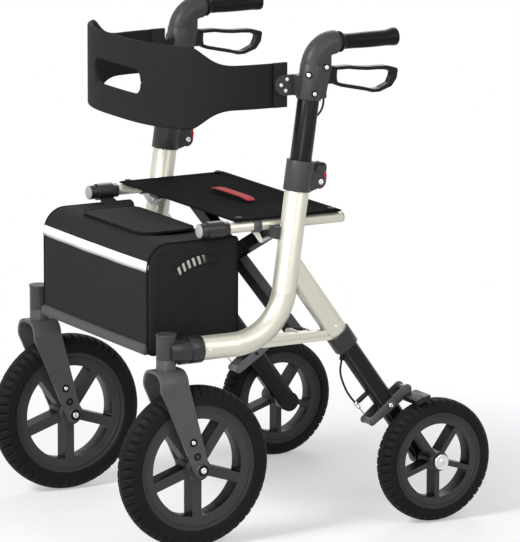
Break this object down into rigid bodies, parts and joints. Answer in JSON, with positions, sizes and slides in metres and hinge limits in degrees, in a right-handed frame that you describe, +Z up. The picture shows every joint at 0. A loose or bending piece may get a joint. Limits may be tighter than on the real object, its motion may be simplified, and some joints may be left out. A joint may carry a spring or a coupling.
{
  "type": "all terrain rollator",
  "caption": "Folding all terrain rollator with air-type wheels, seat, storage bag, curved backrest band and height-adjustable brake handles",
  "frame": {"origin": "middle of the bounding box on the floor under the wheels", "axes": "+X to the user's left, +Y to the rear where the user walks, +Z up"},
  "size_m": [0.6526, 0.7508, 0.929],
  "materials": {
    "champagne": "satin champagne coating",
    "black_plastic": "matte moulded",
    "grey_plastic": "matte moulded dark grey",
    "black_metal": "satin black",
    "grey_metal": "satin dark grey",
    "steel": "bright",
    "tyre": "soft, with block tread",
    "grip_rubber": "matte",
    "cable_black": "satin sheath",
    "black_cloth": "woven polyester",
    "backrest_cloth": "padded woven band",
    "red_webbing": "woven strap"
  },
  "bodies": {
    "left_frame": {"left_side_tube": "champagne", "left_rear_leg": "champagne", "left_leg_brace": "champagne", "left_leg_collar": "black_plastic", "left_lower_leg": "black_metal", "left_front_collar": "black_plastic", "left_head_tube": "grey_plastic", "left_height_clamp": "grey_plastic", "left_rail_saddle": "grey_plastic", "left_leg_cable": "cable_black"},
    "left_caster": {"left_fork": "grey_metal", "left_front_axle": "steel"},
    "left_front_wheel": {"left_front_tyre": "tyre", "left_front_rim": "black_plastic"},
    "left_rear_wheel": {"left_rear_tyre": "tyre", "left_rear_rim": "black_plastic"},
    "left_brake": {"left_brake_arm": "grey_metal"},
    "left_clamp": {"left_clamp_lever": "black_plastic"},
    "left_handle": {"left_handle_post": "black_metal", "left_handle_housing": "grey_plastic", "left_grip": "grip_rubber", "left_band_bracket": "grey_plastic", "left_lever_cable": "cable_black"},
    "left_lever": {"left_brake_lever": "black_plastic"},
    "right_frame": {"right_side_tube": "champagne", "right_rear_leg": "champagne", "right_leg_brace": "champagne", "right_leg_collar": "black_plastic", "right_lower_leg": "black_metal", "right_front_collar": "black_plastic", "right_head_tube": "grey_plastic", "right_height_clamp": "grey_plastic", "right_rail_saddle": "grey_plastic", "right_leg_cable": "cable_black"},
    "right_caster": {"right_fork": "grey_metal", "right_front_axle": "steel"},
    "right_front_wheel": {"right_front_tyre": "tyre", "right_front_rim": "black_plastic"},
    "right_rear_wheel": {"right_rear_tyre": "tyre", "right_rear_rim": "black_plastic"},
    "right_brake": {"right_brake_arm": "grey_metal"},
    "right_clamp": {"right_clamp_lever": "black_plastic"},
    "right_handle": {"right_handle_post": "black_metal", "right_handle_housing": "grey_plastic", "right_grip": "grip_rubber", "right_band_bracket": "grey_plastic", "right_lever_cable": "cable_black"},
    "right_lever": {"right_brake_lever": "black_plastic"},
    "scissor_a": {"cross_bar_a": "black_metal", "right_seat_rail": "champagne", "right_rail_sleeve": "black_plastic", "seat_panel": "black_cloth", "seat_pull_strap": "red_webbing"},
    "scissor_b": {"cross_bar_b": "black_metal", "left_seat_rail": "champagne", "left_rail_sleeve": "black_plastic"},
    "bag": {"bag_shell": "black_cloth"},
    "bag_lid": {"bag_flap": "black_cloth"},
    "backrest_left_half": {"backrest_left": "backrest_cloth"},
    "backrest_right_half": {"backrest_right": "backrest_cloth"}
  },
  "joints": [
    {"name": "fold", "type": "hinge", "parent": "left_frame", "child": "scissor_a", "pos_m": [0.216, 0.00844, 0.366], "axis": [0, 1, 0], "range_deg": [0, 39.6], "deforming": ["seat_panel", "seat_pull_strap", "bag_shell", "bag_flap"]},
    {"name": "scissor_pivot", "type": "hinge", "parent": "scissor_a", "child": "scissor_b", "pos_m": [0, -0.00456, 0.4705], "axis": [0, 1, 0], "range_deg": [-79.2, 0]},
    {"name": "right_foot_hinge", "type": "hinge", "parent": "scissor_b", "child": "right_frame", "pos_m": [-0.216, -0.01755, 0.366], "axis": [0, 1, 0], "range_deg": [0, 39.6]},
    {"name": "bag_hang", "type": "hinge", "parent": "scissor_a", "child": "bag", "pos_m": [-0.216, -0.161, 0.575], "axis": [0, 1, 0], "range_deg": [-39.6, 0]},
    {"name": "bag_lid_hinge", "type": "hinge", "parent": "bag", "child": "bag_lid", "pos_m": [0, -0.1435, 0.5583], "axis": [-1, 0, 0], "range_deg": [0, 80]},
    {"name": "left_swivel", "type": "hinge", "parent": "left_frame", "child": "left_caster", "pos_m": [0.252, -0.2805, 0.34], "axis": [0, 0, 1], "continuous": true},
    {"name": "left_front_spin", "type": "hinge", "parent": "left_caster", "child": "left_front_wheel", "pos_m": [0.252, -0.2255, 0.15], "axis": [1, 0, 0], "continuous": true},
    {"name": "left_rear_spin", "type": "hinge", "parent": "left_frame", "child": "left_rear_wheel", "pos_m": [0.296, 0.2595, 0.116], "axis": [1, 0, 0], "continuous": true},
    {"name": "left_height", "type": "slide", "parent": "left_frame", "child": "left_handle", "axis": [0, 0.1392, 0.9903], "range_m": [-0.06, 0.06]},
    {"name": "left_clamp_lever_hinge", "type": "hinge", "parent": "left_frame", "child": "left_clamp", "pos_m": [0.252, 0.03228, 0.6544], "axis": [-1, 0, 0], "range_deg": [0, 100]},
    {"name": "left_brake_lever_hinge", "type": "hinge", "parent": "left_handle", "child": "left_lever", "pos_m": [0.252, 0.04039, 0.865], "axis": [1, 0, 0], "range_deg": [0, 12], "stiffness_Nm_per_rad": 2, "springref_deg": -2.86},
    {"name": "left_brake_arm_hinge", "type": "hinge", "parent": "left_frame", "child": "left_brake", "pos_m": [0.252, 0.18295, 0.22107], "axis": [-1, 0, 0], "range_deg": [0, 3.4]},
    {"name": "right_swivel", "type": "hinge", "parent": "right_frame", "child": "right_caster", "pos_m": [-0.252, -0.2805, 0.34], "axis": [0, 0, 1], "continuous": true},
    {"name": "right_front_spin", "type": "hinge", "parent": "right_caster", "child": "right_front_wheel", "pos_m": [-0.252, -0.2255, 0.15], "axis": [1, 0, 0], "continuous": true},
    {"name": "right_rear_spin", "type": "hinge", "parent": "right_frame", "child": "right_rear_wheel", "pos_m": [-0.296, 0.2595, 0.116], "axis": [1, 0, 0], "continuous": true},
    {"name": "right_height", "type": "slide", "parent": "right_frame", "child": "right_handle", "axis": [0, 0.1392, 0.9903], "range_m": [-0.06, 0.06]},
    {"name": "right_clamp_lever_hinge", "type": "hinge", "parent": "right_frame", "child": "right_clamp", "pos_m": [-0.252, 0.03228, 0.6544], "axis": [-1, 0, 0], "range_deg": [0, 100]},
    {"name": "right_brake_lever_hinge", "type": "hinge", "parent": "right_handle", "child": "right_lever", "pos_m": [-0.252, 0.04039, 0.865], "axis": [1, 0, 0], "range_deg": [0, 12], "stiffness_Nm_per_rad": 2, "springref_deg": -2.86},
    {"name": "right_brake_arm_hinge", "type": "hinge", "parent": "right_frame", "child": "right_brake", "pos_m": [-0.252, 0.18295, 0.22107], "axis": [-1, 0, 0], "range_deg": [0, 3.4]},
    {"name": "backrest_left_hinge", "type": "hinge", "parent": "left_handle", "child": "backrest_left_half", "pos_m": [0.23585, -0.0498, 0.833], "axis": [0, 0, 1], "range_deg": [0, 27]},
    {"name": "backrest_middle_hinge", "type": "hinge", "parent": "backrest_left_half", "child": "backrest_right_half", "pos_m": [0, -0.2428, 0.833], "axis": [0, 0, 1], "range_deg": [-54, 0]}
  ],
  "couplings": [
    {"joint": "scissor_pivot", "follows": "fold", "ratio": -2},
    {"joint": "right_foot_hinge", "follows": "fold", "ratio": 1},
    {"joint": "bag_hang", "follows": "fold", "ratio": -1},
    {"joint": "backrest_left_hinge", "follows": "fold", "ratio": 0.68},
    {"joint": "backrest_middle_hinge", "follows": "fold", "ratio": -1.36},
    {"joint": "right_height", "follows": "left_height", "ratio": 1},
    {"joint": "left_brake_arm_hinge", "follows": "left_brake_lever_hinge", "ratio": 0.28},
    {"joint": "right_brake_arm_hinge", "follows": "right_brake_lever_hinge", "ratio": 0.28}
  ]
}
